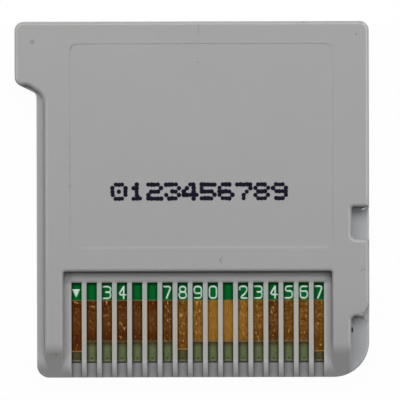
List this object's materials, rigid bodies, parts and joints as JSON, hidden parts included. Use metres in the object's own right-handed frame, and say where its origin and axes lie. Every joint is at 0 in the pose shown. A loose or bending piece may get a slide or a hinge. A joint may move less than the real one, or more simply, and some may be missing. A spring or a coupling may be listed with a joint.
{
  "type": "game cartridge",
  "caption": "Thin grey card cartridge for a handheld game console, with a grip tab, a latch notch and a sunk comb of gold edge contacts.",
  "frame": {"origin": "middle of the box's underside, on the plane of the label side's rim", "axes": "+Z out of the contact side, +Y to the grip end, -Y to the contact edge, +X to the notched side"},
  "size_m": [0.035, 0.0352, 0.0038],
  "materials": {
    "shell_plastic": "fine matt moulded grey",
    "board_laminate": "green solder mask over glass laminate",
    "contact_gold": "worn gold plating",
    "chip_resin": "black moulded resin",
    "tinned_lead": "dull tin",
    "capacitor_ceramic": "tan ceramic with tinned ends",
    "resistor_ceramic": "black coat with tinned ends"
  },
  "bodies": {
    "root": {"front_shell": "shell_plastic", "rear_shell": "shell_plastic", "circuit_board": "board_laminate", "contact_pad_01": "contact_gold", "contact_pad_02": "contact_gold", "contact_pad_03": "contact_gold", "contact_pad_04": "contact_gold", "contact_pad_05": "contact_gold", "contact_pad_06": "contact_gold", "contact_pad_07": "contact_gold", "contact_pad_08": "contact_gold", "contact_pad_09": "contact_gold", "contact_pad_10": "contact_gold", "contact_pad_11": "contact_gold", "contact_pad_12": "contact_gold", "contact_pad_13": "contact_gold", "contact_pad_14": "contact_gold", "contact_pad_15": "contact_gold", "contact_pad_16": "contact_gold", "contact_pad_17": "contact_gold", "game_memory": "chip_resin", "game_memory_leads": "tinned_lead", "save_memory": "chip_resin", "save_memory_leads": "tinned_lead", "capacitor_1": "capacitor_ceramic", "capacitor_2": "capacitor_ceramic", "capacitor_3": "capacitor_ceramic", "resistor_1": "resistor_ceramic", "resistor_2": "resistor_ceramic"}
  },
  "joints": []
}
